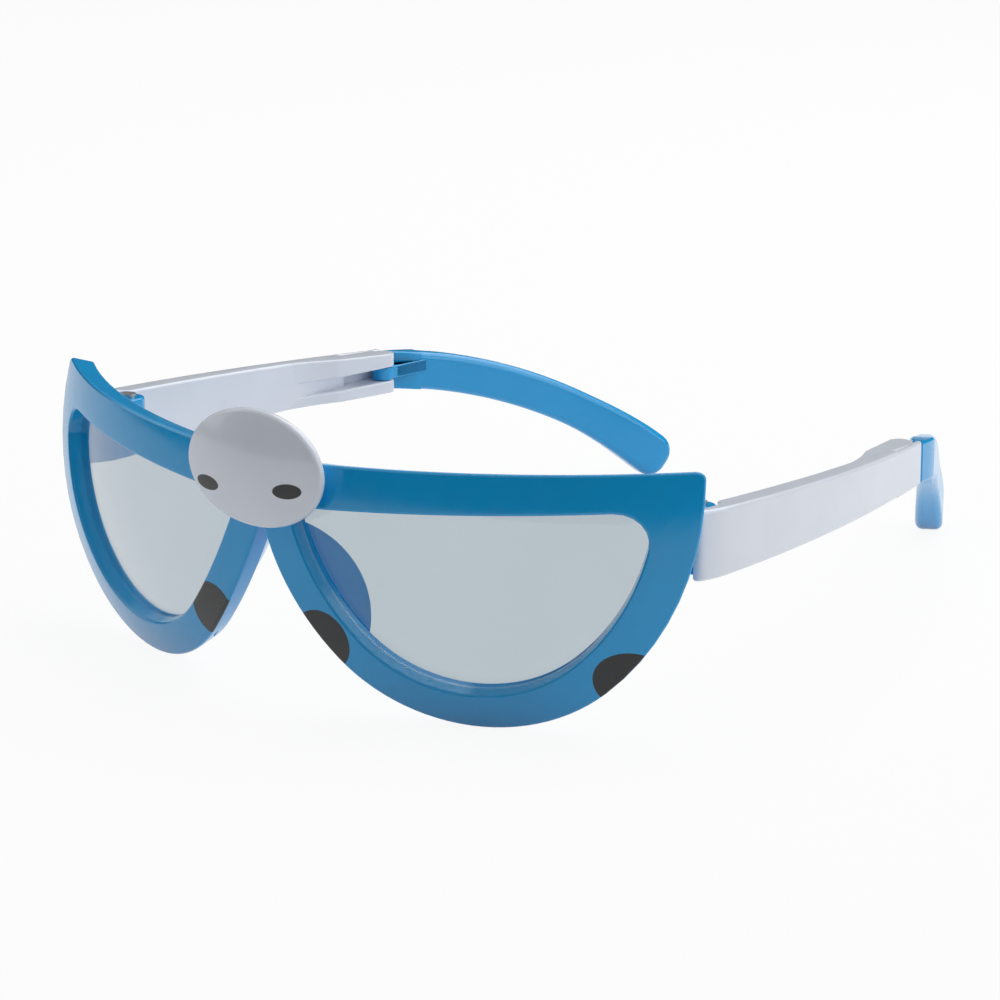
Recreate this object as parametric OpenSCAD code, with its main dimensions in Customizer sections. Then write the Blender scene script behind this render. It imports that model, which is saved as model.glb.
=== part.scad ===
/* [Front frame] */
// Half of the front's overall width
front_half_w = 70.9; // [66:0.1:76]
// Height of the brow's top edge at the middle of the front
brow_z = 42.6; // [40:0.1:46]
// Rise of the brow's top edge towards the corners, in degrees
brow_rise = 2.6; // [0:0.1:5]
// Height of the brow bar at the middle of the front
brow_h = 7.7; // [6:0.1:10]
// Rise of an opening's top edge towards the temple, in degrees
opening_rise = 3.9; // [2:0.1:6]
// Width of the rim around each lens
rim_w = 6.2; // [5:0.1:8]
// Thickness of the front frame
frame_t = 4.4; // [4:0.1:6]
// Radius of the front's wrap around the face, seen from above
wrap_r = 110; // [100:1:125]
// Radius of the front's bulge, seen from the side
bulge_r = 70; // [60:1:90]
// Height at which the front stands plumb
plumb_z = 28; // [24:0.5:32]
// Radius of the rim's lowest stretch
rim_low_r = 31; // [28:0.5:34]
// Distance from the middle of the front to the lowest point of a rim
rim_low_x = 36.5; // [34:0.5:39]
// Angle at which the lowest stretch runs into the temple side, in degrees
temple_a = 48; // [44:1:54]
// Angle at which the lowest stretch runs into the nose side, in degrees
nose_a = 43; // [40:1:46]
// Radius of the rim's nose side
rim_nose_r = 65; // [58:1:75]
// Height of the underside of the bridge
bridge_z = 31; // [29:0.1:33]
// Radius of the opening's upper corner at the temple
temple_corner_r = 5; // [3:0.5:7]
// Radius of the opening's upper corner at the nose
nose_corner_r = 2; // [1:0.5:3]
// Length of a nose pad
pad_l = 23; // [20:0.5:25]
// Reach of a nose pad behind the front's face
pad_reach = 8; // [7:0.1:10]
// Thickness of a nose pad
pad_t = 2.2; // [1.6:0.1:3]
// Place of a nose pad's middle on the nose side, in degrees
pad_a = 32; // [30:0.5:33]

/* [Lenses] */
// Thickness of a lens
lens_t = 1; // [0.6:0.1:1.2]
// Depth of the lens behind the front's face
lens_set = 2.2; // [1.6:0.1:2.4]
// Depth of the groove that holds the lens
groove_d = 1.4; // [1:0.1:2]

/* [Badge] */
// Width of the badge
badge_w = 29.4; // [26:0.1:32]
// Height of the badge
badge_h = 20.1; // [18:0.1:22]
// Height of the badge's middle
badge_z = 41.4; // [39:0.1:44]
// Distance from the brow to the end of the badge's dome
badge_d = 2.8; // [2.4:0.1:4]
// Height of the badge's dome
dome_h = 2.3; // [1:0.1:3]
// Radius of the badge's ends, as a share of its height
badge_end = 0.36; // [0.34:0.01:0.37]
// Thickness of the badge's edge
badge_edge_t = 1.5; // [1:0.1:1.5]
// Inset of the badge's seat from its edge
badge_seat = 4; // [3:0.1:5]
// Radius of a badge peg
peg_r = 1; // [0.8:0.1:1.4]
// Length of a badge peg inside the brow
peg_l = 2.8; // [2:0.1:3.2]
// Distance between the badge pegs
peg_gap = 14; // [10:1:18]
// Drop of the badge pegs below the badge's middle
peg_drop = 1.5; // [1:0.1:2.5]

/* [Arms] */
// Length of an arm's body behind the front
arm_l = 76; // [70:1:84]
// Bow of an arm, as the radius of its outer face
arm_bow_r = 345; // [300:5:500]
// Height of an arm's top edge at the front
arm_top_z = 38.4; // [36:0.1:40]
// Height of an arm at the front
arm_root_h = 12; // [10.5:0.1:13]
// Height of an arm at its rear end
arm_rear_h = 8.2; // [7.6:0.1:10]
// Drop of an arm's top edge along its length
arm_drop = 5.2; // [3:0.1:7]
// Thickness of an arm at the front
arm_t = 4.5; // [4:0.1:5.5]
// Thickness of an arm ahead of its rear boss
arm_rear_t = 3.2; // [2.8:0.1:4]
// Inset of the arm's outer face from the front's corner
arm_inset = 1.4; // [0.8:0.1:2.5]
// Inward lean of the left arm as it stands open, in degrees
left_lean = 0; // [-4.5:0.5:6]
// Inward lean of the right arm as it stands open, in degrees
right_lean = -4.5; // [-4.5:0.5:6]

/* [Ear tips] */
// Inward bend of a tip from its arm, in degrees
tip_bend = 16.5; // [10:0.5:20]
// Length of a tip from its hinge to its bend
tip_straight = 9; // [6:0.5:9.5]
// Radius of a tip's curve, seen from the side
tip_curve_r = 116; // [100:1:130]
// Slope at the start of a tip's curve, upwards, in degrees
tip_start_a = -4; // [-6:0.5:0]
// Height of a tip's section
tip_h = 7.6; // [6.8:0.1:8]
// Thickness of a tip
tip_t = 4.2; // [3.6:0.1:4.6]
// Radius of a tip's round end
bulb_r = 4.5; // [4:0.1:5.5]

/* [Hinges] */
// Radius of a frame hinge's pin
frame_pin_r = 0.9; // [0.7:0.1:1.1]
// Radius of a tip hinge's pin
tip_pin_r = 0.8; // [0.6:0.1:1]
// Radius of a frame hinge's knuckle
frame_knuckle_r = 3; // [2.6:0.1:3.4]
// Radius of a tip hinge's ears
tip_ear_r = 2.2; // [1.9:0.1:2.6]
// Height of the arm's tongue in the frame hinge
root_tongue_h = 4; // [3:0.1:5]
// Height of the tip's tongue in the arm
tip_tongue_h = 2.5; // [2:0.1:3]
// Depth of the relief beside the frame's knuckle, in the arm's inner face
root_relief = 1.8; // [1.4:0.1:2.4]
// Margin between an arm's edge and the end of the frame's knuckle
lug_margin = 0.8; // [0.5:0.1:1.2]
// Radius of a frame pin's head
pin_head_r = 1.5; // [1.3:0.1:2]
// Height of a frame pin's head
pin_head_h = 0.6; // [0.4:0.1:0.7]
// Length of the rear boss on an arm
boss_l = 9.5; // [9:0.5:12]
// Thickness of the wall that covers the tip hinge on the outside
skin_t = 1.3; // [1:0.1:1.8]
// Step between the outer faces of an arm and its tip
tip_step = 0.2; // [0:0.1:0.5]
// Thickness of the rib that carries the tip's tongue
rib_t = 2.6; // [2:0.1:3.4]
// Length of the rib's root inside the tip
rib_root = 1; // [0.5:0.1:1.5]
// Cover of plastic above a tip hinge's pin
tip_pin_cover = 1; // [0.6:0.1:1.6]
// Running clearance around a pin
pin_gap = 0.05; // [0.02:0.01:0.1]
// Gap between faces that pass each other
run_gap = 0.3; // [0.2:0.05:0.5]
// Gap between the front's corner and an arm's root, wide enough for the arm's lean
root_gap = 1; // [0.9:0.1:1.2]
// Depth of wall left beside the front's face at the arm's root
corner_cut = 1; // [0.9:0.1:1.5]
// Gap around pieces that sit still in their seats
seat_gap = 0.05; // [0.02:0.01:0.1]

/* [Hidden] */
$fn = 128;
far = 200;
arc_lap = 4;
tip_lap = 2;

// Rim curves as tangent arcs: the lowest stretch, the temple side and the nose side
low_c = [rim_low_x, rim_low_r];
temple_join = low_c + rim_low_r * [cos(temple_a), -sin(temple_a)];
temple_r = (front_half_w - temple_join[0]) / (1 - cos(temple_a));
temple_c = temple_join + temple_r * [-cos(temple_a), sin(temple_a)];
nose_dir = [cos(nose_a), sin(nose_a)];
nose_c = low_c - rim_low_r * nose_dir + rim_nose_r * nose_dir;
brow_slope = tan(brow_rise);
opening_slope = tan(opening_rise);
bulge_c = wrap_r - bulge_r;
wrap_a = 55;

// Nose pad: its round outline, from its length where it leaves the front and from its reach
pad_rise = pad_reach - frame_t / 2;
pad_r = (pow(pad_l / 2, 2) + pow(pad_rise, 2)) / (2 * pad_rise);

// Frame hinge, on the left side with the arm straight back
arm_x = front_half_w - arm_inset;
corner_a = asin(front_half_w / wrap_r);
corner_y = wrap_r * (1 - cos(corner_a));
corner_back_y = wrap_r - sqrt(pow(wrap_r - frame_t, 2) - pow(front_half_w, 2));
arm_y = corner_back_y + root_gap;
frame_pin_y = arm_y + frame_knuckle_r + run_gap;
plate_t = arm_t - root_relief;
frame_pin_x = arm_x - plate_t - run_gap - frame_knuckle_r;
arm_mid_z = arm_top_z - arm_root_h / 2;
lug_z0 = arm_top_z - arm_root_h + lug_margin;
lug_z1 = arm_top_z - lug_margin;

// Arm, seen from above: a bowed outer face and an inner face that thins to the rear
bow_y = arm_y;
arm_end_y = arm_y + arm_l;
function outer_x(y) = arm_x - arm_bow_r + sqrt(pow(arm_bow_r, 2) - pow(y - bow_y, 2));
inner_r = 1 / (1 / arm_bow_r - 2 * (arm_t - arm_rear_t) / pow(arm_l - boss_l, 2));

// Tip hinge: its pin stands in the rear boss, square to the arm's own end
tip_pin_y = arm_end_y;
end_a = asin((tip_pin_y - bow_y) / arm_bow_r);
tip_off = tip_ear_r + run_gap / 2 + skin_t;
tip_pin_x = outer_x(tip_pin_y) - tip_off / cos(end_a);
rear_top_z = arm_top_z - arm_drop;
tip_z = rear_top_z - arm_rear_h / 2;
slot_h = tip_tongue_h + 2 * run_gap / 3;
wall_s = tip_ear_r + run_gap;
recess_l = boss_l + run_gap;
pocket_l = recess_l + run_gap;

// Tip, seen from the side: an arc that ends where its round end meets the ground
tip_c = [tip_curve_r * sin(tip_start_a), tip_z - tip_curve_r * cos(tip_start_a)];
tip_end_a = acos((bulb_r - tip_c[1]) / tip_curve_r);
bulb_c = tip_c + tip_curve_r * [sin(tip_end_a), cos(tip_end_a)];

// The part stands with the middle of its length over the origin
function face_y(z) = bulge_r - sqrt(pow(bulge_r, 2) - pow(z - plumb_z, 2));
badge_y = face_y(badge_z) - badge_d - dome_h;
function rear_y(lean) =
    let (a = end_a + tip_bend + lean)
    frame_pin_y + cos(lean) * (tip_pin_y - frame_pin_y) + sin(lean) * (tip_pin_x - frame_pin_x)
        + tip_straight * cos(end_a + lean) + (bulb_c[0] + bulb_r - tip_straight) * cos(a) + (tip_off - tip_step) * sin(a);
mid_y = (badge_y + max(rear_y(left_lean), rear_y(right_lean))) / 2;

// A flat outline in X and Z, made solid between two depths
module upright(y0, y1) {
    translate([0, y1, 0])
        rotate([90, 0, 0])
            linear_extrude(y1 - y0)
                children();
}

module both_sides() {
    children();
    mirror([1, 0, 0])
        children();
}

// A layer of the curved front, between two depths behind its face
module front_layer(d0, d1) {
    translate([0, wrap_r, 0])
        rotate_extrude(angle = 2 * wrap_a, start = 270 - wrap_a)
            intersection() {
                translate([bulge_c, plumb_z])
                    difference() {
                        circle(bulge_r - d0);
                        circle(bulge_r - d1);
                    }
                translate([bulge_c + bulge_r / 3, -far])
                    square([bulge_r, 2 * far]);
            }
}

module wedge(c, a0, a1) {
    mid = (a0 + a1) / 2;
    polygon([c, c + far * [cos(a0), sin(a0)], c + far * [cos(mid), sin(mid)], c + far * [cos(a1), sin(a1)]]);
}

// The area inside the rim's arcs, drawn in by an inset
module rim_area(inset) {
    translate(low_c)
        circle(rim_low_r - inset);
    intersection() {
        translate(temple_c)
            circle(temple_r - inset);
        wedge(temple_c, -temple_a, 90);
    }
    intersection() {
        translate(nose_c)
            circle(rim_nose_r - inset);
        wedge(nose_c, 180, 180 + nose_a);
    }
}

// Everything below a line that rises towards the temple
module below_line(z, slope) {
    polygon([[0, -far], [far, -far], [far, z + far * slope], [0, z]]);
}

// Middle of a round corner between an opening's top edge and a rim arc
function corner_c(c, r, z, side) =
    let (
        a = 1 + pow(opening_slope, 2),
        k = z - r[1] * sqrt(a),
        b = opening_slope * (k - c[1]) - c[0],
        e = pow(c[0], 2) + pow(k - c[1], 2) - pow(r[0] - r[1], 2),
        x = (-b + side * sqrt(b * b - a * e)) / a
    ) [x, k + opening_slope * x];

function unit(v) = v / norm(v);

// The area between a chord and its arc, with a lap inside the chord
module arc_bulge(c, r, p, q) {
    out = unit((p + q) / 2 - c);
    intersection() {
        translate(c)
            circle(r);
        polygon([p - arc_lap * out, q - arc_lap * out, q + far * out, p + far * out]);
    }
}

// The area of one lens, reaching into the rim by the given amount
module lens_area(reach) {
    intersection() {
        rim_area(rim_w - reach);
        below_line(brow_z - brow_h + reach, opening_slope);
    }
}

// One lens opening, with round upper corners
module opening() {
    z = brow_z - brow_h;
    low_r = rim_low_r - rim_w;
    side_r = temple_r - rim_w;
    inner_nose_r = rim_nose_r - rim_w;
    tr = temple_corner_r;
    nr = nose_corner_r;
    tm = corner_c(temple_c, [side_r, tr], z, 1);
    nm = corner_c(nose_c, [inner_nose_r, nr], z, -1);
    up = [-sin(opening_rise), cos(opening_rise)];
    nose_top = nm + nr * up;
    temple_top = tm + tr * up;
    temple_side = tm + tr * unit(tm - temple_c);
    temple_low = low_c + low_r * [cos(temple_a), -sin(temple_a)];
    nose_low = low_c - low_r * nose_dir;
    nose_side = nm + nr * unit(nm - nose_c);
    polygon([nose_top, temple_top, temple_side, temple_low, nose_low, nose_side]);
    arc_bulge(tm, tr, temple_top, temple_side);
    arc_bulge(temple_c, side_r, temple_side, temple_low);
    arc_bulge(low_c, low_r, temple_low, nose_low);
    arc_bulge(nose_c, inner_nose_r, nose_low, nose_side);
    arc_bulge(nm, nr, nose_side, nose_top);
}

module front_outline() {
    both_sides()
        intersection() {
            union() {
                rim_area(0);
                translate([0, bridge_z])
                    square([low_c[0], far]);
            }
            below_line(brow_z, brow_slope);
        }
}

// A leaf-shaped pad behind the rim's nose side
module nose_pad() {
    mid = nose_c - rim_nose_r * [cos(pad_a), sin(pad_a)];
    intersection() {
        upright(frame_t / 2, far)
            intersection() {
                difference() {
                    translate(nose_c)
                        circle(rim_nose_r);
                    translate(nose_c)
                        circle(rim_nose_r - pad_t);
                }
                wedge(nose_c, 180, 180 + nose_a);
            }
        translate([mid[0], pad_reach - pad_r, mid[1]])
            sphere(pad_r);
    }
}

// Everything behind a line square to the wrapped face at the front's corner, seen from above
module behind_corner(gap) {
    translate([front_half_w, corner_y])
        rotate(corner_a)
            translate([gap, -far])
                square([far, 2 * far]);
}

// Room for an arm's root beside the front's corner
module corner_room() {
    linear_extrude(arm_top_z + root_gap)
        behind_corner(corner_cut);
}

// The knuckle behind the front's corner, as two ears around the arm's tongue
module frame_lug() {
    slot = root_tongue_h + 2 * run_gap;
    lug_h = lug_z1 - lug_z0;
    lug_x = frame_pin_x - frame_knuckle_r;
    difference() {
        union() {
            translate([frame_pin_x, frame_pin_y, lug_z0])
                cylinder(r = frame_knuckle_r, h = lug_h);
            translate([lug_x, 0, lug_z0])
                cube([2 * frame_knuckle_r, frame_pin_y, lug_h]);
            difference() {
                translate([lug_x, 0, lug_z0])
                    cube([arm_x - lug_x, corner_back_y, lug_h]);
                corner_room();
            }
        }
        // Nothing ahead of the middle of the front's thickness
        translate([0, wrap_r, 0])
            difference() {
                cylinder(r = far, h = far);
                cylinder(r = wrap_r - frame_t / 2, h = far);
            }
        translate([0, frame_pin_y - frame_knuckle_r - run_gap, arm_mid_z - slot / 2])
            cube([far, far, slot]);
        translate([frame_pin_x, frame_pin_y, 0])
            cylinder(r = frame_pin_r + seat_gap, h = far);
    }
}

module peg_places() {
    for (x = [-peg_gap / 2, peg_gap / 2])
        translate([x, 0, badge_z - peg_drop])
            rotate([-90, 0, 0])
                children();
}

module front_frame() {
    color("deepskyblue")
        difference() {
            union() {
                difference() {
                    intersection() {
                        front_layer(0, frame_t);
                        upright(-far, far)
                            front_outline();
                    }
                    both_sides()
                        corner_room();
                }
                both_sides() {
                    nose_pad();
                    frame_lug();
                }
            }
            intersection() {
                front_layer(-frame_t, frame_t + run_gap);
                upright(-far, far)
                    both_sides()
                        opening();
            }
            intersection() {
                front_layer(lens_set - seat_gap, lens_set + lens_t + seat_gap);
                upright(-far, far)
                    both_sides()
                        lens_area(groove_d + seat_gap);
            }
            peg_places()
                cylinder(r = peg_r + seat_gap, h = face_y(badge_z) + peg_l + run_gap);
        }
}

module lens() {
    color("lightgray")
        intersection() {
            front_layer(lens_set, lens_set + lens_t);
            upright(-far, far)
                lens_area(groove_d);
        }
}

// An oval of four tangent arcs
module oval(w, h) {
    end_r = badge_end * h;
    side_r = (pow(w / 2 - end_r, 2) + pow(h / 2, 2) - pow(end_r, 2)) / (h - 2 * end_r);
    end_c = [w / 2 - end_r, 0];
    top_c = [0, h / 2 - side_r];
    join = end_c + end_r * unit(end_c - top_c);
    joins = [join, [-join[0], join[1]], -join, [join[0], -join[1]]];
    polygon(joins);
    arc_bulge(top_c, side_r, joins[0], joins[1]);
    arc_bulge(-end_c, end_r, joins[1], joins[2]);
    arc_bulge(-top_c, side_r, joins[2], joins[3]);
    arc_bulge(end_c, end_r, joins[3], joins[0]);
}

module badge() {
    dome_r = (pow(badge_w / 2, 2) + pow(dome_h, 2)) / (2 * dome_h);
    edge_y = badge_y + dome_h;
    color("white") {
        intersection() {
            translate([0, 0, badge_z])
                upright(-far, edge_y + badge_edge_t)
                    oval(badge_w, badge_h);
            translate([0, badge_y + dome_r, badge_z])
                sphere(dome_r, $fn = 200);
        }
        difference() {
            translate([0, 0, badge_z])
                upright(edge_y, frame_t)
                    oval(badge_w - 2 * badge_seat, badge_h - 2 * badge_seat);
            front_layer(-seat_gap, bulge_r / 2);
        }
        peg_places()
            cylinder(r = peg_r, h = face_y(badge_z) + peg_l);
    }
}

// Turns a left-hand piece about its frame hinge, or mirrors it to the right
module on_side(side) {
    lean = side > 0 ? left_lean : right_lean;
    mirror([side > 0 ? 0 : 1, 0, 0])
        translate([frame_pin_x, frame_pin_y, 0])
            rotate([0, 0, lean])
                translate([-frame_pin_x, -frame_pin_y, 0])
                    children();
}

// The tip hinge's own axes: along the arm's end, outwards from it, and up
module at_tip_hinge() {
    translate([tip_pin_x, tip_pin_y, 0])
        rotate([0, 0, 90 + end_a])
            mirror([0, 1, 0])
                children();
}

// The arm's band seen from the side, tapered to the rear
module arm_side() {
    rotate([90, 0, 90])
        linear_extrude(far)
            polygon([
                [0, arm_top_z - arm_root_h + arm_y * (arm_drop + arm_rear_h - arm_root_h) / arm_l],
                [arm_end_y + boss_l, rear_top_z - arm_rear_h],
                [arm_end_y + boss_l, rear_top_z],
                [arm_end_y, rear_top_z],
                [arm_y, arm_top_z],
                [0, arm_top_z]
            ]);
}

// The arm's band seen from above
module arm_plan() {
    intersection() {
        difference() {
            translate([arm_x - arm_bow_r, bow_y])
                circle(arm_bow_r, $fn = 400);
            translate([arm_x - arm_t - inner_r, bow_y])
                circle(inner_r, $fn = 400);
        }
        behind_corner(corner_cut + root_gap);
    }
}

// The rear boss, seen along the tip hinge's own axes
module boss_plan() {
    translate([-boss_l, -tip_ear_r])
        square([boss_l, tip_ear_r + tip_off - tip_step]);
    circle(tip_ear_r);
    square([tip_ear_r, tip_off - tip_step]);
}

module arm_body() {
    difference() {
        union() {
            intersection() {
                linear_extrude(far)
                    arm_plan();
                arm_side();
                at_tip_hinge()
                    translate([-far, -far, 0])
                        cube([far + tip_ear_r, 2 * far, far]);
            }
            intersection() {
                at_tip_hinge()
                    linear_extrude(far)
                        boss_plan();
                arm_side();
                linear_extrude(far)
                    translate([arm_x - arm_bow_r, bow_y])
                        circle(arm_bow_r, $fn = 400);
            }
        }
        // Room for the frame's knuckle
        translate([frame_pin_x, frame_pin_y, 0])
            cylinder(r = frame_knuckle_r + run_gap, h = far);
        cube([arm_x - plate_t, frame_pin_y, far]);
        // Slot for the tip's tongue and pocket for its rib
        at_tip_hinge()
            translate([-pocket_l, -far, tip_z - slot_h / 2])
                cube([pocket_l + far, far + tip_off - skin_t, slot_h]);
        at_tip_hinge()
            translate([0, 0, tip_z - arm_rear_h])
                cylinder(r = tip_pin_r + seat_gap, h = 1.5 * arm_rear_h - tip_pin_cover);
    }
}

module root_tongue() {
    difference() {
        union() {
            translate([frame_pin_x, frame_pin_y, arm_mid_z - root_tongue_h / 2])
                cylinder(r = frame_knuckle_r - run_gap, h = root_tongue_h);
            translate([frame_pin_x, frame_pin_y - frame_knuckle_r + run_gap, arm_mid_z - root_tongue_h / 2])
                cube([arm_x - plate_t / 2 - frame_pin_x, 2 * (frame_knuckle_r - run_gap), root_tongue_h]);
        }
        translate([frame_pin_x, frame_pin_y, 0])
            cylinder(r = frame_pin_r + pin_gap, h = far);
    }
}

module arm(side) {
    color("whitesmoke")
        on_side(side) {
            arm_body();
            root_tongue();
        }
}

// The curve of the tip seen from the side, from the hinge to its round end
module tip_side() {
    intersection() {
        translate(tip_c)
            difference() {
                circle(tip_curve_r + tip_h / 2, $fn = 200);
                circle(tip_curve_r - tip_h / 2, $fn = 200);
            }
        wedge(tip_c, 90 - tip_end_a, 100);
    }
    translate(bulb_c)
        circle(bulb_r);
}

// A stretch of the tip's band, between two places along the hinge's own axes
module tip_stretch(s0, s1) {
    intersection() {
        translate([0, tip_off - tip_step, 0])
            rotate([90, 0, 0])
                linear_extrude(tip_t)
                    tip_side();
        translate([s0, -far, 0])
            cube([s1 - s0, 2 * far, far]);
    }
}

module tip_body() {
    difference() {
        union() {
            tip_stretch(wall_s, tip_straight);
            translate([tip_straight, 0, 0])
                rotate([0, 0, -tip_bend])
                    translate([-tip_straight, 0, 0])
                        tip_stretch(tip_straight - tip_lap, far);
        }
        // Nothing stands out beyond the arm's outer face
        translate([0, tip_off - tip_step, 0])
            cube([far, far, far]);
        // Recess that lets the arm's ears swing in beside the rib
        translate([-far, -far, 0])
            cube([far + recess_l, far + tip_off - skin_t - run_gap, far]);
    }
}

module tip_tongue() {
    difference() {
        union() {
            translate([0, 0, tip_z - tip_tongue_h / 2])
                cylinder(r = tip_ear_r, h = tip_tongue_h);
            translate([0, -rib_t / 2, tip_z - tip_tongue_h / 2])
                cube([recess_l + rib_root, rib_t, tip_tongue_h]);
            translate([wall_s, -rib_t / 2, tip_z - tip_tongue_h / 2])
                cube([recess_l + rib_root - wall_s, rib_t / 2 + tip_off - skin_t, tip_tongue_h]);
        }
        cylinder(r = tip_pin_r + pin_gap, h = far);
    }
}

module tip(side) {
    color("dodgerblue")
        on_side(side)
            at_tip_hinge() {
                tip_body();
                tip_tongue();
            }
}

module frame_pin(side) {
    color("silver")
        mirror([side > 0 ? 0 : 1, 0, 0])
            translate([frame_pin_x, frame_pin_y, lug_z0]) {
                cylinder(r = frame_pin_r, h = lug_z1 - lug_z0);
                translate([0, 0, lug_z1 - lug_z0])
                    cylinder(r = pin_head_r, h = pin_head_h);
            }
}

module tip_pin(side) {
    color("silver")
        on_side(side)
            at_tip_hinge()
                translate([0, 0, rear_top_z - arm_rear_h + seat_gap])
                    cylinder(r = tip_pin_r, h = arm_rear_h - tip_pin_cover - 2 * seat_gap);
}

module stand() {
    translate([0, -mid_y, 0])
        children();
}

stand() front_frame();
stand() lens();  // left_lens
stand() mirror([1, 0, 0]) lens();  // right_lens
stand() badge();
stand() arm(1);  // left_arm
stand() arm(-1);  // right_arm
stand() tip(1);  // left_tip
stand() tip(-1);  // right_tip
stand() frame_pin(1);  // left_frame_pin
stand() frame_pin(-1);  // right_frame_pin
stand() tip_pin(1);  // left_tip_pin
stand() tip_pin(-1);  // right_tip_pin
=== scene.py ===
"""Children's folding 3D glasses: the dressed pieces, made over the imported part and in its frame."""

import math

import bmesh
import bpy
from bpy.props import FloatProperty, FloatVectorProperty, PointerProperty
from mathutils import Matrix, Vector


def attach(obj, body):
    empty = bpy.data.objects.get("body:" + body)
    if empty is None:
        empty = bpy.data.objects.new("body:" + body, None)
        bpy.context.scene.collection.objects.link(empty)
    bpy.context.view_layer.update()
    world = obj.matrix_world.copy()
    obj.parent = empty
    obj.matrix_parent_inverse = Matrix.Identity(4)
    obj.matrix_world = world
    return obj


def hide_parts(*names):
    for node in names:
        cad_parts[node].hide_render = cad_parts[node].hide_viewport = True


bl_info = {
    "name": "Children's 3D glasses",
    "version": (1, 0, 0),
    "blender": (4, 5, 0),
    "location": "3D View > Sidebar > Glasses",
    "description": "Builds the looks of a pair of folding 3D glasses over its packed part",
    "category": "Object",
}

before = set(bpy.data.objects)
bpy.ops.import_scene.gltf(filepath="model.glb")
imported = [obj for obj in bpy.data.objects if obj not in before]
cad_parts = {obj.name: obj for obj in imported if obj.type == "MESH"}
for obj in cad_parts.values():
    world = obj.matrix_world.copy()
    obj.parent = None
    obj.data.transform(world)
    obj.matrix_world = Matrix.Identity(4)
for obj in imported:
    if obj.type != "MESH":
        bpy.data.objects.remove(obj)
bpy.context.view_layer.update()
MM = 0.001
UP = Vector((0, 0, 1))
BACK = Vector((0, 1, 0))
# Points closer than this are one point, and a step this small makes a square shoulder
MERGE = 0.002 * MM
SHOULDER = 0.01 * MM

# Where the brow's own face stands in the shared frame, and the two frame hinges beside it
FACE_Y = -84.6594 * MM
PIN = Vector((63.5, 36.0405, 32.4)) * MM


def linear(code):
    """An sRGB hex code as a linear colour."""
    parts = [int(code[i:i + 2], 16) / 255 for i in (0, 2, 4)]
    return tuple(p / 12.92 if p <= 0.04045 else ((p + 0.055) / 1.055) ** 2.4 for p in parts)


def length_prop(name, description, size):
    """A length property whose default is given in millimetres."""
    return FloatProperty(name=name, description=description, default=size * MM, unit="LENGTH")


def angle_prop(name, description, degrees):
    """An angle property whose default is given in degrees."""
    return FloatProperty(name=name, description=description, default=math.radians(degrees), subtype="ANGLE")


def colour_prop(name, description, code):
    """A colour property whose default is given as an sRGB hex code."""
    return FloatVectorProperty(name=name, description=description, subtype="COLOR", default=linear(code))


class FrontSizes(bpy.types.PropertyGroup):
    """Sizes of the wrapped front, its openings and its nose pads."""
    half_width: length_prop("Half width", "From the middle to the temple", 70.9)
    brow_top: length_prop("Brow top", "Height of the brow's top at the middle", 42.6)
    brow_rise: angle_prop("Brow rise", "Slope of the brow towards the temple", 2.6)
    brow_height: length_prop("Brow height", "Height of the brow bar at the middle", 7.7)
    opening_rise: angle_prop("Opening rise", "Slope of an opening's top edge towards the temple", 3.9)
    rim_width: length_prop("Rim width", "Width of the rims round the openings", 6.2)
    thickness: length_prop("Thickness", "Thickness of the front", 4.4)
    wrap_radius: length_prop("Wrap radius", "Radius of the wrap seen from above", 110)
    bulge_radius: length_prop("Bulge radius", "Radius of the bulge seen from the side", 70)
    plumb_height: length_prop("Plumb height", "Height at which the face stands upright", 28)
    low_radius: length_prop("Low radius", "Radius of the rim's lowest stretch", 31)
    low_x: length_prop("Low place", "Distance of the rim's lowest point from the middle", 36.5)
    temple_angle: angle_prop("Temple angle", "Turn of the lowest stretch towards the temple", 48)
    nose_angle: angle_prop("Nose angle", "Direction of the join with the nose side", 43)
    nose_radius: length_prop("Nose radius", "Radius of the rim's nose side", 65)
    bridge_height: length_prop("Bridge height", "Height of the bridge's underside", 31)
    brow_corner: length_prop("Brow corner", "Rounding of the brow's temple corner", 1.5)
    temple_corner: length_prop("Temple corner", "Rounding of the opening at the temple", 5)
    nose_corner: length_prop("Nose corner", "Rounding of the opening at the nose", 2)
    outer_round: length_prop("Outer round", "Rounding of the outer edges", 1.7)
    opening_round: length_prop("Opening round", "Rounding of the openings' edges", 0.45)
    pad_radius: length_prop("Pad radius", "Radius of the leaf-shaped nose pads", 17)
    pad_reach: length_prop("Pad reach", "How far the pads reach behind the face", 12)
    pad_splay: angle_prop("Pad splay", "How the pads open to the rear", 24)
    pad_thickness: length_prop("Pad thickness", "Thickness of the nose pads", 2.2)
    pad_angle: angle_prop("Pad angle", "Place of the pads on the nose side", 33)
    lens_set: length_prop("Lens set", "Depth of the lenses behind the face", 2.2)
    lens_thickness: length_prop("Lens thickness", "Thickness of the lenses", 1)
    lens_reach: length_prop("Lens reach", "How far a lens sits in its groove", 0.9)


class BadgeSizes(bpy.types.PropertyGroup):
    """Sizes of the oval badge on the brow."""
    width: length_prop("Width", "Width of the oval", 29.2)
    height: length_prop("Height", "Height of the oval", 20.1)
    centre: length_prop("Centre", "Height of the oval's middle", 41.4)
    front: length_prop("Front", "How far the dome stands ahead of the brow's face", 3.8)
    dome: length_prop("Dome", "Rise of the dome", 2.3)
    thickness: length_prop("Thickness", "Thickness of the badge at its edge", 1.5)
    seat: length_prop("Seat", "Inset of the seat behind the badge", 4)
    edge: length_prop("Edge", "Rounding of the rim", 0.6)


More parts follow.
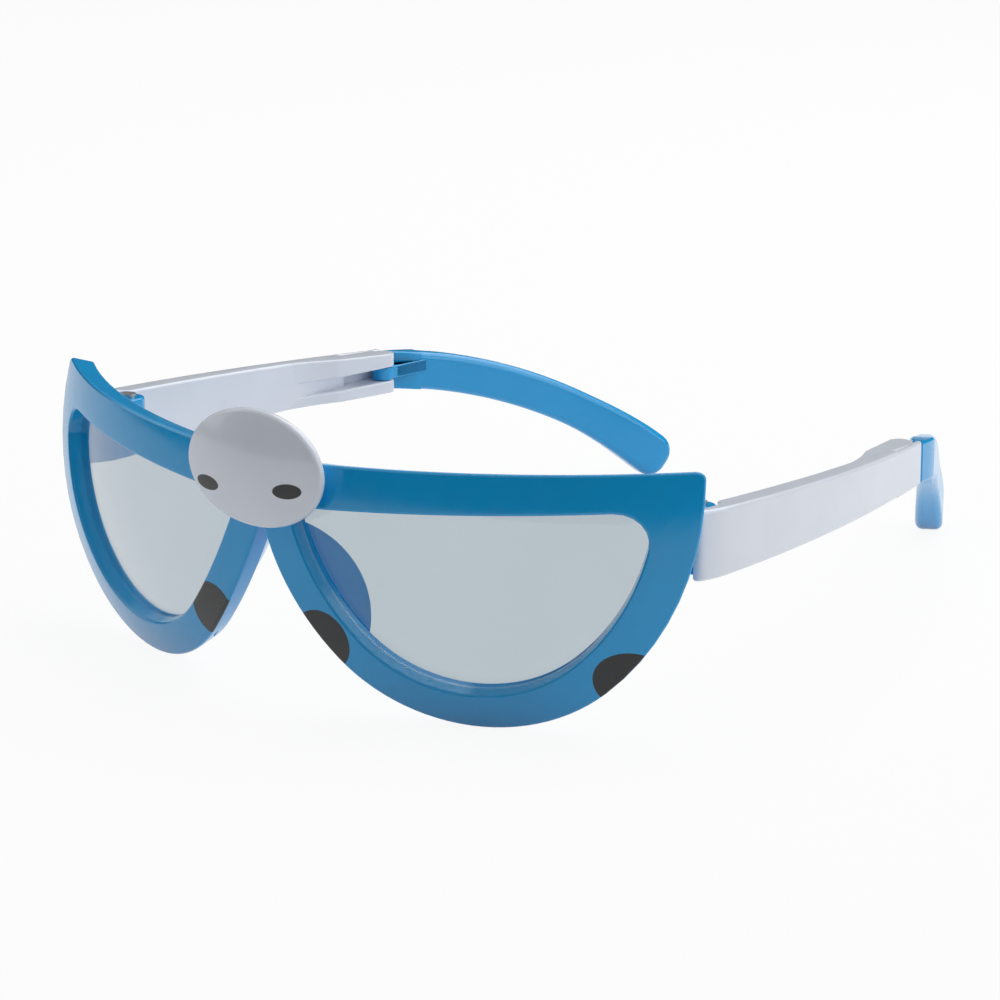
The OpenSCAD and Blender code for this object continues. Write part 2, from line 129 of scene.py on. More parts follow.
class ArmSizes(bpy.types.PropertyGroup):
    """Sizes of the arms, on the left side and with the arm straight back."""
    root_x: length_prop("Root place", "Outer face at the root", 69.5)
    root_y: length_prop("Root start", "Start of the arm behind the brow's face", 32.74)
    length: length_prop("Length", "From the root to the tip hinge", 76)
    bow_radius: length_prop("Bow radius", "Radius of the outer face seen from above", 345)
    inner_radius: length_prop("Inner radius", "Radius of the inner face seen from above", 432.8)
    thickness: length_prop("Thickness", "Thickness at the root", 4.5)
    plate: length_prop("Plate", "Thickness beside the frame's knuckle", 2.7)
    top: length_prop("Top", "Height of the top at the root", 38.4)
    root_height: length_prop("Root height", "Height of the band at the root", 12)
    rear_height: length_prop("Rear height", "Height of the band at the rear", 8.2)
    drop: length_prop("Drop", "Fall of the top line to the rear", 5.2)
    skin: length_prop("Skin", "Thickness of the outer wall beside the tip hinge", 1.3)
    boss: length_prop("Boss", "Length of the rear boss", 9.5)
    ear_radius: length_prop("Ear radius", "Radius of the ears round the tip's pin", 2.2)
    slot: length_prop("Slot", "Height of the slot between the ears", 2.7)
    edge: length_prop("Edge", "Rounding of the long edges", 0.7)
    right_lean: angle_prop("Right lean", "How far the right arm stands open", -4.5)


class TipSizes(bpy.types.PropertyGroup):
    """Sizes of the ear tips."""
    bend: angle_prop("Bend", "Turn of the tip inwards from the arm's end", 16.5)
    bend_place: length_prop("Bend place", "Distance of the bend from the hinge", 9)
    bend_radius: length_prop("Bend radius", "Radius of the bend seen from above", 14)
    curve_radius: length_prop("Curve radius", "Radius of the tip's curve seen from the side", 116)
    start_angle: angle_prop("Start angle", "Angle at which the curve starts", -4)
    end_angle: angle_prop("End angle", "Angle at which the curve ends", 38.23)
    height: length_prop("Height", "Height of the tip's band", 7.6)
    thickness: length_prop("Thickness", "Thickness of the tip", 4.2)
    bulb: length_prop("Bulb", "Radius of the round end", 4.5)
    edge: length_prop("Edge", "Rounding of the long edges", 1.5)
    tongue: length_prop("Tongue", "Height of the tongue in the arm's slot", 2.5)


class Finishes(bpy.types.PropertyGroup):
    """Colours of the mouldings, the prints, the lenses and the pins."""
    blue: colour_prop("Blue", "Blue plastic", "0AA2E3")
    white: colour_prop("White", "White plastic", "E6ECF7")
    ink: colour_prop("Ink", "Black print", "0D1016")
    film: colour_prop("Film", "Grey lens film", "B6C1C8")
    steel: colour_prop("Steel", "Hinge pins", "B9BBBE")
    floor: colour_prop("Floor", "Studio floor", "F2F2F2")


# Meshes

def turn(axis, centre, start, end):
    """The right-handed angle about an axis from one point to another."""
    a, b = start - centre, end - centre
    return math.atan2(axis.dot(a.cross(b)), a.dot(b))


def arc(bm, start, centre, axis, angle, steps):
    """Spins a vertex about an axis into a run of edges and gives the new vertices."""
    made = []
    for _ in range(steps):
        spun = bmesh.ops.spin(bm, geom=[start], cent=centre, axis=axis, angle=angle / steps, steps=1,
                              use_duplicate=False)
        start = next(g for g in spun["geom_last"] if isinstance(g, bmesh.types.BMVert))
        made.append(start)
    return made


def line(bm, start, end, steps):
    """Draws a straight run of edges from a vertex to a point and gives the new vertices."""
    step, made = (end - start.co) / steps, []
    for _ in range(steps):
        new = bmesh.ops.extrude_vert_indiv(bm, verts=[start])["verts"][0]
        new.co = start.co + step
        made.append(new)
        start = new
    return made


def close(bm, verts):
    """Joins the last vertex of a run to its first and gives all the loop's edges."""
    if not bm.edges.get((verts[-1], verts[0])):
        bm.edges.new((verts[-1], verts[0]))
    return [bm.edges.get((a, b)) for a, b in zip(verts, verts[1:] + verts[:1])]


def everything(bm):
    """All of a mesh's vertices, edges and faces."""
    return list(bm.verts) + list(bm.edges) + list(bm.faces)


def sharp(bm, angle=math.radians(32)):
    """The edges at which two faces meet at more than an angle."""
    return [e for e in bm.edges if len(e.link_faces) == 2 and e.calc_face_angle() > angle]


def round_off(bm, edges, width, segments=4):
    """Rounds edges."""
    bmesh.ops.bevel(bm, geom=edges, offset=width, offset_type="OFFSET", segments=segments, profile=0.5,
                    affect="EDGES", clamp_overlap=True, material=-1)


def settle(bm):
    """Merges doubles and turns every face outwards."""
    bmesh.ops.remove_doubles(bm, verts=bm.verts, dist=MERGE)
    bmesh.ops.dissolve_degenerate(bm, edges=bm.edges, dist=MERGE)
    bmesh.ops.recalc_face_normals(bm, faces=bm.faces)


def add_shell(bm, shell, slot=0):
    """Adds a finished shell to a piece's mesh, in one of its material slots, and frees it."""
    for face in shell.faces:
        face.material_index = slot
    passing = bpy.data.meshes.new("passing")
    shell.to_mesh(passing)
    shell.free()
    bm.from_mesh(passing)
    bpy.data.meshes.remove(passing)


def lift(bm, faces, place):
    """Extrudes faces and puts each new vertex where place says."""
    made = bmesh.ops.extrude_face_region(bm, geom=faces)["geom"]
    for v in made:
        if isinstance(v, bmesh.types.BMVert):
            v.co = place(v.co)


def prism(verts_of, height, width, segments=3):
    """A rounded prism over an outline that verts_of draws in a new mesh."""
    bm = bmesh.new()
    edges = close(bm, verts_of(bm))
    faces = bmesh.ops.contextual_create(bm, geom=edges)["faces"]
    lift(bm, faces, lambda p: p + UP * height)
    settle(bm)
    if width:
        round_off(bm, sharp(bm), width, segments)
    return bm


def section(lo, hi, low, high, edge):
    """A rounded rectangle as a map from a unit circle's point to a place across and up."""
    edge = min(edge, 0.49 * (hi - lo), 0.49 * (high - low))

    def place(c, s):
        across = (lo + hi) / 2 + math.copysign((hi - lo) / 2 - edge, c) + edge * c
        up = (low + high) / 2 + math.copysign((high - low) / 2 - edge, s) + edge * s
        return across, up
    return place


def tube(stations, count=32):
    """A closed skin through stations, each a map from a unit circle's point to a place."""
    bm = bmesh.new()
    bmesh.ops.create_circle(bm, cap_ends=False, radius=1, segments=count)
    turned = Matrix.Rotation(math.pi / count, 4, "Z")
    bmesh.ops.transform(bm, matrix=turned, verts=bm.verts)
    unit = bm.verts.layers.float_vector.new("unit")
    for v in bm.verts:
        v[unit] = v.co
    ring, ends = list(bm.edges), [list(bm.edges)]
    for i, place in enumerate(stations):
        if i:
            made = bmesh.ops.extrude_edge_only(bm, edges=ring)["geom"]
            ring = [g for g in made if isinstance(g, bmesh.types.BMEdge)]
            verts = {v for e in ring for v in e.verts}
            ring = [e for e in ring if all(v in verts for v in e.verts) and len(e.link_faces) == 1]
        for v in {v for e in ring for v in e.verts}:
            v.co = place(v[unit].x, v[unit].y)
    ends.append(ring)
    for end in ends:
        bmesh.ops.contextual_create(bm, geom=end)
    settle(bm)
    return bm


def piece(name, bm, body, slot, material, *nodes):
    """Makes the piece's object, in the shared frame, and lets it ride on its body."""
    settle(bm)
    mesh = bpy.data.meshes.new(name)
    bm.to_mesh(mesh)
    bm.free()
    mesh.shade_smooth()
    mesh.set_sharp_from_angle(angle=math.radians(38))
    mesh.materials.append(material)
    obj = bpy.data.objects.new(name, mesh)
    bpy.context.scene.collection.objects.link(obj)
    weighted = obj.modifiers.new("Even light on flats", "WEIGHTED_NORMAL")
    weighted.keep_sharp = True
    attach(obj, body)
    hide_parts(*nodes)
    return obj


def to_frame(bm):
    """Moves a mesh from the brow's own face to the shared frame."""
    bmesh.ops.translate(bm, vec=BACK * FACE_Y, verts=bm.verts)


# The front's lines

def face_y(g, x, z, depth):
    """How far back the wrapped front lies at x and z, at a depth behind its face."""
    bulge = math.sqrt((g.bulge_radius - depth) ** 2 - (z - g.plumb_height) ** 2)
    ring = g.wrap_radius - g.bulge_radius + bulge
    return g.wrap_radius - math.sqrt(ring ** 2 - x ** 2)


def on_face(g, depth):
    """A map that lays a point on the front at a depth behind its face."""
    return lambda p: Vector((p.x, face_y(g, p.x, p.z, depth), p.z))


def behind(g, p, depth):
    """The point square behind a point of the wrapped front, at a depth."""
    out = Vector((p.x, p.y - g.wrap_radius, 0)).normalized()
    middle = Vector((0, g.wrap_radius, g.plumb_height)) + (g.wrap_radius - g.bulge_radius) * out
    return p + depth * (middle - p).normalized()


def rim_centres(g):
    """Middles and radii of the rim's temple, low and nose arcs, and the direction of the nose join."""
    low = Vector((g.low_x, 0, g.low_radius))
    out = Vector((math.cos(g.temple_angle), 0, -math.sin(g.temple_angle)))
    join = low + g.low_radius * out
    temple_radius = (g.half_width - join.x) / (1 - math.cos(g.temple_angle))
    nose_dir = Vector((math.cos(g.nose_angle), 0, math.sin(g.nose_angle)))
    nose = low + (g.nose_radius - g.low_radius) * nose_dir
    return low, out, join - temple_radius * out, temple_radius, nose, nose_dir


def corner(rise, centre, radius, rounding, z, side):
    """Middle of a round corner between a rising line and a rim arc."""
    slope = math.tan(rise)
    k = z - rounding * math.sqrt(1 + slope ** 2)
    a = 1 + slope ** 2
    b = slope * (k - centre.z) - centre.x
    e = centre.x ** 2 + (k - centre.z) ** 2 - (radius - rounding) ** 2
    x = (-b + side * math.sqrt(b * b - a * e)) / a
    return Vector((x, 0, k + slope * x))


def square_to(rise):
    """The direction square to a rising line."""
    return Vector((-math.sin(rise), 0, math.cos(rise)))


STEPS = {"brow": 20, "corner": 6, "temple": 10, "low": 26, "nose": 12, "centre": 8}


def rim_run(bm, g, start, rise, inset, rounding, z, nose_end):
    """Draws a rising line, the temple corner and the three rim arcs, down to an end on the nose side."""
    low, out, temple, temple_radius, nose, nose_dir = rim_centres(g)
    mid = corner(rise, temple, temple_radius - inset, rounding, z, 1)
    run = [bm.verts.new(start)]

    def bend(centre, end, steps):
        run.extend(arc(bm, run[-1], centre, BACK, turn(BACK, centre, run[-1].co, end), steps))
    run += line(bm, run[-1], mid + rounding * square_to(rise), STEPS["brow"])
    bend(mid, mid + rounding * (mid - temple).normalized(), STEPS["corner"])
    bend(temple, low + (g.low_radius - inset) * out, STEPS["temple"])
    bend(low, low - (g.low_radius - inset) * nose_dir, STEPS["low"])
    bend(nose, nose_end, STEPS["nose"])
    return run, bend


def front_loop(bm, g):
    """The outline of the front's left half, closed along the middle."""
    nose = rim_centres(g)[4]
    z = g.bridge_height
    bridge = Vector((nose.x - math.sqrt(g.nose_radius ** 2 - (nose.z - z) ** 2), 0, z))
    run, _ = rim_run(bm, g, Vector((0, 0, g.brow_top)), g.brow_rise, 0, g.brow_corner, g.brow_top, bridge)
    run += line(bm, run[-1], Vector((0, 0, z)), 1)
    run += line(bm, run[-1], Vector((0, 0, g.brow_top)), STEPS["centre"] - 1)
    return run


def opening_loop(bm, g, reach):
    """The outline of the left opening, or of a lens that reaches into its rim."""
    low, out, temple, temple_radius, nose, nose_dir = rim_centres(g)
    inset, z = g.rim_width - reach, g.brow_top - g.brow_height + reach
    rounding = g.nose_corner + reach
    mid = corner(g.opening_rise, nose, g.nose_radius - inset, rounding, z, -1)
    start = mid + rounding * square_to(g.opening_rise)
    side = mid + rounding * (mid - nose).normalized()
    run, bend = rim_run(bm, g, start, g.opening_rise, inset, g.temple_corner + reach, z, side)
    bend(mid, start, STEPS["centre"])
    return run


class GLASSES_OT_front(bpy.types.Operator):
    """Builds the blue front: brow bar, rims, bridge, nose pads and hinge knuckles."""
    bl_idname = "glasses.front"
    bl_label = "Front"

    def execute(self, context):
        g, arm = context.scene.glasses_front, context.scene.glasses_arms
        bm = bmesh.new()
        outer, opening = front_loop(bm, g), opening_loop(bm, g, 0)
        for run in (outer, opening):
            bmesh.ops.pointmerge(bm, verts=[run[0], run[-1]], merge_co=run[0].co)
            run.pop()
        bmesh.ops.bridge_loops(bm, edges=list(bm.edges))
        kept = {key(v.co) for v in opening if v.is_valid}
        loops = {e for e in bm.edges if len(e.link_faces) == 1}
        across = [e for e in bm.edges if e not in loops]
        bmesh.ops.subdivide_edges(bm, edges=across, cuts=2, use_grid_fill=True)
        bmesh.ops.mirror(bm, geom=everything(bm), axis="X", merge_dist=0.001 * MM)
        hole = bm.verts.layers.int.new("hole")
        for v in bm.verts:
            v[hole] = key(v.co) in kept
            v.co = on_face(g, 0)(v.co)
        lift(bm, list(bm.faces), lambda p: behind(g, p, g.thickness))
        settle(bm)
        outside = [e for e in sharp(bm) if not all(v[hole] for v in e.verts)]
        round_off(bm, outside, g.outer_round, 5)
        inside = [e for e in sharp(bm, math.radians(50)) if all(v[hole] for v in e.verts)]
        round_off(bm, inside, g.opening_round, 3)
        for side in (1, -1):
            for shell in (nose_pad(g), *knuckle(g, arm)):
                if side < 0:
                    bmesh.ops.scale(shell, vec=(-1, 1, 1), verts=shell.verts)
                add_shell(bm, shell, 1)
        to_frame(bm)
        printed = bpy.data.materials["spot_printed_blue_abs"]
        front = piece("front_moulding", bm, "front", "blue_plastic", printed, "front_frame")
        # The pads and knuckles stand behind the prints and take none
        front.data.materials.append(bpy.data.materials["moulded_blue_abs"])
        return {"FINISHED"}


def key(p):
    """A point's place across and up, the same on both sides, to a thousandth of a millimetre."""
    return round(abs(p.x) / MM * 1000), round(p.z / MM * 1000)


def nose_pad(g):
    """A leaf behind the rim's nose side, bent to the rim's own arc and opening to the rear."""
    nose = rim_centres(g)[4]
    root, inset, cover = 3 * MM, 0.2 * MM, 2 * MM
    bm = bmesh.new()
    bmesh.ops.create_circle(bm, cap_ends=True, radius=g.pad_radius, segments=96)
    bmesh.ops.translate(bm, vec=BACK * (g.pad_reach - g.pad_radius), verts=bm.verts)
    bmesh.ops.bisect_plane(bm, geom=everything(bm), plane_co=BACK * root, plane_no=BACK, clear_inner=True)
    for i in range(-6, 7):
        cut = (i * g.pad_radius / 8, 0, 0)
        bmesh.ops.bisect_plane(bm, geom=everything(bm), plane_co=cut, plane_no=(1, 0, 0))
    for v in bm.verts:
        turned = g.pad_angle + v.co.x / g.nose_radius
        radius = g.nose_radius - inset - (v.co.y - root) * math.tan(g.pad_splay)
        x, z = nose.x - radius * math.cos(turned), nose.z - radius * math.sin(turned)
        # The rim's face curves back at its low end, and the leaf stays behind it
        v.co = Vector((x, max(v.co.y, face_y(g, x, z, cover)), z))

    def inwards(p):
        towards = Vector((nose.x - p.x, 0, nose.z - p.z)).normalized()
        return p + g.pad_thickness * towards
    lift(bm, list(bm.faces), inwards)
    settle(bm)
    round_off(bm, sharp(bm, math.radians(50)), 0.4 * g.pad_thickness, 4)
    return bm


def knuckle(g, arm):
    """The block behind the front's corner and its two ears round the arm's tongue."""
    r, slot, lug, root = 3 * MM, 4.6 * MM, 10.4 * MM, 3.4 * MM
    z0, back, lap = PIN.z - lug / 2, 31.74 * MM, 1 * MM

    def block(bm):
        start, end, rear, slant = 62.9 * MM, 65.8 * MM, 65.9 * MM, 2.7 * MM
        run = [bm.verts.new((start, face_y(g, start, g.plumb_height, root), z0))]
        for x, y in ((end, face_y(g, end, g.plumb_height, root)), (rear, back), (PIN.x - r, back),
                     (PIN.x - r, back - slant)):
            run += line(bm, run[-1], Vector((x, y, z0)), 1)
        return run

    def ear(z):
        def plan(bm):
            run = [bm.verts.new((PIN.x + r, back - lap, z))]
            run += line(bm, run[-1], Vector((PIN.x + r, PIN.y, z)), 1)
            run += arc(bm, run[-1], Vector((PIN.x, PIN.y, z)), UP, math.pi, 16)
            run += line(bm, run[-1], Vector((PIN.x - r, back - lap, z)), 1)
            return run
        return plan
    ear_h = (lug - slot) / 2
    ears = [prism(ear(z), ear_h, 0.4 * MM) for z in (z0, z0 + lug - ear_h)]
    return (prism(block, lug, 0.5 * MM), *ears)


class GLASSES_OT_lenses(bpy.types.Operator):
    """Builds the two thin grey lenses, wrapped as the front is."""
    bl_idname = "glasses.lenses"
    bl_label = "Lenses"

    def execute(self, context):
        g = context.scene.glasses_front
        for name, side in (("left_lens", 1), ("right_lens", -1)):
            bm = bmesh.new()
            run = opening_loop(bm, g, g.lens_reach)
            bmesh.ops.pointmerge(bm, verts=[run[0], run[-1]], merge_co=run[0].co)
            middle = Vector((g.low_x, 0, 0.55 * g.brow_top))
            ring, rings = list(bm.edges), 9
            for i in range(1, rings):
                made = bmesh.ops.extrude_edge_only(bm, edges=ring)["geom"]
                verts = [v for v in made if isinstance(v, bmesh.types.BMVert)]
                ring = [e for e in made if isinstance(e, bmesh.types.BMEdge) and len(e.link_faces) == 1]
                f = (rings - i) / (rings - i + 1)
                bmesh.ops.scale(bm, vec=(f, f, f), space=Matrix.Translation(-middle), verts=verts)
            bmesh.ops.contextual_create(bm, geom=ring)
            last = max(bm.faces, key=lambda face: len(face.verts))
            bmesh.ops.poke(bm, faces=[last])
            for v in bm.verts:
                v.co = behind(g, on_face(g, 0)(v.co), g.lens_set)
            lift(bm, list(bm.faces), lambda p: behind(g, p, g.lens_thickness))
            bmesh.ops.scale(bm, vec=(side, 1, 1), verts=bm.verts)
            to_frame(bm)
            piece(name + "_film", bm, "front", "lens_film", bpy.data.materials["grey_polariser_film"], name)
        return {"FINISHED"}


class GLASSES_OT_badge(bpy.types.Operator):
    """Builds the white domed badge on the brow."""
    bl_idname = "glasses.badge"
    bl_label = "Badge"

    def execute(self, context):
        b, g = context.scene.glasses_badge, context.scene.glasses_front
        half_w, half_h = b.width / 2, b.height / 2

        def dome(x, z):
            return b.dome * ((x / half_w) ** 2 + (z / half_h) ** 2) - b.front

        def ring(inset, y_of):
            def place(c, s):
                x, z = (half_w - inset) * c, (half_h - inset) * s
                return Vector((x, y_of(x, z), b.centre + z))
            return place

        def inner(share):
            def place(c, s):
                x, z = share * (half_w - b.edge) * c, share * (half_h - b.edge) * s
                return Vector((x, dome(x, z), b.centre + z))
            return place

        def seat(x, z):
            return face_y(g, x, b.centre + z, -0.05 * MM)

        def back(x, z):
            return min(b.dome - b.front + b.thickness, seat(x, z))
        turns = [math.radians(a) for a in (0, 22.5, 45, 67.5, 90)]
        stations = [inner(k) for k in (0.02, 0.15, 0.3, 0.45, 0.6, 0.75, 0.88)]
        for a in turns:
            inset, sink = b.edge * (1 - math.sin(a)), b.edge * (1 - math.cos(a))
            stations.append(ring(inset, lambda x, z, k=sink: dome(x, z) + k))
        for a in reversed(turns):
            inset, sink = b.edge * (1 - math.sin(a)), b.edge * (1 - math.cos(a))
            stations.append(ring(inset, lambda x, z, k=sink: back(x, z) - k))
        stations += [ring(b.seat, back), ring(b.seat + SHOULDER, seat)]
        stations += [ring(half_h * k, seat) for k in (0.6, 0.8, 0.95)]
        bm = tube(stations, 72)
        to_frame(bm)
        printed = bpy.data.materials["oval_printed_white_abs"]
        piece("badge_dome", bm, "front", "white_plastic", printed, "badge")
        return {"FINISHED"}


# The arms' and tips' lines, on the left side

# Thickness of an arm just ahead of its rear boss
REAR_THICKNESS = 3.2 * MM


def hinge_axes(a):
    """A matrix from the tip hinge's axes, along the arm's end and outwards, and the outer face's distance."""
    turned = math.asin(a.length / a.bow_radius)
    off = a.ear_radius + 0.15 * MM + a.skin
    y = a.root_y + a.length
    outer = a.root_x - a.bow_radius + math.sqrt(a.bow_radius ** 2 - a.length ** 2)
    s, c = math.sin(turned), math.cos(turned)
    return Matrix(((-s, c, 0, outer - off / c), (c, s, 0, y), (0, 0, 1, 0), (0, 0, 0, 1))), off


def side_matrix(a, side):
    """Turns a left-hand mesh about its frame hinge, or mirrors it to the right."""
    lean = Matrix.Rotation(a.right_lean if side < 0 else 0, 4, "Z")
    about = Matrix.Translation(PIN) @ lean @ Matrix.Translation(-PIN)
    return Matrix.Translation(BACK * FACE_Y) @ Matrix.Scale(side, 4, (1, 0, 0)) @ about


def arm_top(a, y):
    return a.top - a.drop * max(0, min(1, (y - a.root_y) / a.length))


def arm_low(a, y):
    rear = a.top - a.drop - a.rear_height
    end = a.root_y + a.length + a.boss
    return rear + (end - y) * (a.drop + a.rear_height - a.root_height) / a.length


class GLASSES_OT_arms(bpy.types.Operator):
    """Builds the two white arms, with their tongue, bowed band, rear boss and slot."""
    bl_idname = "glasses.arms"
    bl_label = "Arms"

    def execute(self, context):
        a = context.scene.glasses_arms
        for name, side in (("left_arm", 1), ("right_arm", -1)):
            bm = arm_band(a)
            for shell in (root_tongue(a), *rear_ears(a)):
                add_shell(bm, shell)
            bmesh.ops.transform(bm, matrix=side_matrix(a, side), verts=bm.verts)
            white = bpy.data.materials["moulded_white_abs"]
            piece(name + "_band", bm, name, "white_plastic", white, name)
        return {"FINISHED"}


def arm_band(a):
    """The arm's bowed band, from its root plate to the thin wall beside the tip hinge."""
    hinge, off = hinge_axes(a)

    def outer_x(y):
        return a.root_x - a.bow_radius + math.sqrt(a.bow_radius ** 2 - (y - a.root_y) ** 2)

    def inner_x(y):
        return a.root_x - a.thickness - a.inner_radius + math.sqrt(a.inner_radius ** 2 - (y - a.root_y) ** 2)

    def across(y, inner, edge, trim=0, sunk=0):
        def place(c, s):
            x, z = section(inner, outer_x(y) - sunk, arm_low(a, y) + trim, arm_top(a, y) - trim, edge)(c, s)
            return Vector((x, y, z))
        return place

    def along(s_at, inner, outer, edge, trim=0):
        def place(c, s):
            t, _ = section(inner, outer, 0, 1, 0)(c, s)
            p = hinge @ Vector((s_at, t, 0))
            low, top = arm_low(a, p.y) + trim, arm_top(a, p.y) - trim
            t, z = section(inner, outer, low, top, edge)(c, s)
            p = hinge @ Vector((s_at, t, 0))
            return Vector((p.x, p.y, z))
        return place
    relief = 3.3 * MM
    plate_x = a.root_x - a.plate
    # The root's end closes in behind the front's edge: place, inner and outer setback, and trim, in mm
    root = ((-3.14, 0.25, 2.1, 0.35), (-2.99, 0.15, 1.5, 0.1), (-2.64, 0.1, 1.1, 0), (-2.14, 0.1, 0.88, 0),
            (-1.54, 0.1, 0.7, 0), (-0.54, 0.05, 0.45, 0), (1.26, 0, 0.15, 0), (3.3, 0, 0, 0))
    stations = []
    for y, inner, sunk, trim in root:
        stations.append(across(a.root_y + y * MM, plate_x + inner * MM, a.edge, trim * MM, sunk * MM))
    for i in range(1, 6):
        y = PIN.y + relief * math.sin(i / 6 * math.radians(64))
        stations.append(across(y, max(PIN.x + math.sqrt(relief ** 2 - (y - PIN.y) ** 2), inner_x(y)), a.edge))
    start, end = PIN.y + 1.02 * relief, a.root_y + a.length - 16 * MM
    stations += [across(y, inner_x(y), a.edge) for y in (start + (end - start) * i / 12 for i in range(13))]
    inner_t, skin_t, skin_edge = off - REAR_THICKNESS, off - a.skin, 0.5 * MM
    wall = -a.boss - 0.6 * MM

    def outer_t(s_at):
        return off - s_at ** 2 / (2 * a.bow_radius)
    stations.append(along(wall, inner_t, outer_t(wall), a.edge))
    stations.append(along(wall + SHOULDER, skin_t, outer_t(wall), skin_edge))
    stations += [along(s_at * MM, skin_t, outer_t(s_at * MM), skin_edge) for s_at in (-7, -4, -1)]
    end_round = 1.1 * MM
    for turned in (math.radians(v) for v in (0, 25, 50, 72)):
        sink = end_round * (1 - math.cos(turned))
        s_at = a.ear_radius - end_round * (1 - math.sin(turned))
        stations.append(along(s_at, skin_t, off - sink, skin_edge, sink))
    return tube(stations, 32)


def root_tongue(a):
    """The flat tongue between the frame's two ears."""
    r, h = 2.7 * MM, 4 * MM
    z = PIN.z - h / 2

    def plan(bm):
        run = [bm.verts.new((PIN.x, PIN.y + r, z))]
        run += arc(bm, run[-1], Vector((PIN.x, PIN.y, z)), UP, math.pi, 16)
        run += line(bm, run[-1], Vector((a.root_x - a.plate / 2, PIN.y - r, z)), 1)
        run += line(bm, run[-1], Vector((a.root_x - a.plate / 2, PIN.y + r, z)), 1)
        return run
    return prism(plan, h, 0.3 * MM)


def rear_ears(a):
    """The rear boss as two ears above and below the slot, with a hollow ramp from the band."""
    hinge, off = hinge_axes(a)
    r, ramp, flat, sunk, inset = a.ear_radius, 20 * MM, -a.boss - 3.5 * MM, 0.25 * MM, 0.05 * MM

    def band(s_at):
        """The band's inner face, which bows and thickens towards the root."""
        taper = 0.02 * min(0, s_at + 10 * MM)
        return off - REAR_THICKNESS - s_at ** 2 / (2 * a.bow_radius) + taper
    mid = a.top - a.drop - a.rear_height / 2
    shells = []
    for low, high in ((None, mid - a.slot / 2), (mid + a.slot / 2, None)):
        def plan(bm):
            run = [bm.verts.new((flat - ramp, band(flat - ramp) + sunk, 0))]
            for i in range(1, 17):
                share = i / 16
                s_at, ease = flat - ramp * (1 - share), share * share
                run += line(bm, run[-1], Vector((s_at, (1 - ease) * (band(s_at) + sunk) - ease * r, 0)), 1)
            run += line(bm, run[-1], Vector((0, -r, 0)), 4)
            run += arc(bm, run[-1], Vector((0, 0, 0)), UP, math.pi, 16)
            run += line(bm, run[-1], Vector((0, off - 0.5 * MM, 0)), 1)
            run += line(bm, run[-1], Vector((flat - ramp, band(flat - ramp) + 4 * sunk, 0)), 8)
            return run
        bm = prism(plan, 1 * MM, 0)
        bmesh.ops.transform(bm, matrix=hinge, verts=bm.verts)
        for v in bm.verts:
            if v.co.z > 0.5 * MM:
                v.co.z = arm_top(a, v.co.y) - inset if high is None else high
            else:
                v.co.z = arm_low(a, v.co.y) + inset if low is None else low
        settle(bm)
        round_off(bm, sharp(bm, math.radians(40)), 0.5 * MM, 3)
        shells.append(bm)
    return shells


class GLASSES_OT_tips(bpy.types.Operator):
    """Builds the two blue ear tips, with the tongue that turns in the arm's slot."""
    bl_idname = "glasses.tips"
    bl_label = "Ear tips"

    def execute(self, context):
        a, t = context.scene.glasses_arms, context.scene.glasses_tips
        for name, side in (("left_tip", 1), ("right_tip", -1)):
            bm = tip_band(a, t)
            for shell in tip_tongue(a, t):
                add_shell(bm, shell)
            bmesh.ops.transform(bm, matrix=side_matrix(a, side) @ hinge_axes(a)[0], verts=bm.verts)
            blue = bpy.data.materials["moulded_blue_abs"]
            piece(name + "_hook", bm, name, "blue_plastic", blue, name)
        return {"FINISHED"}


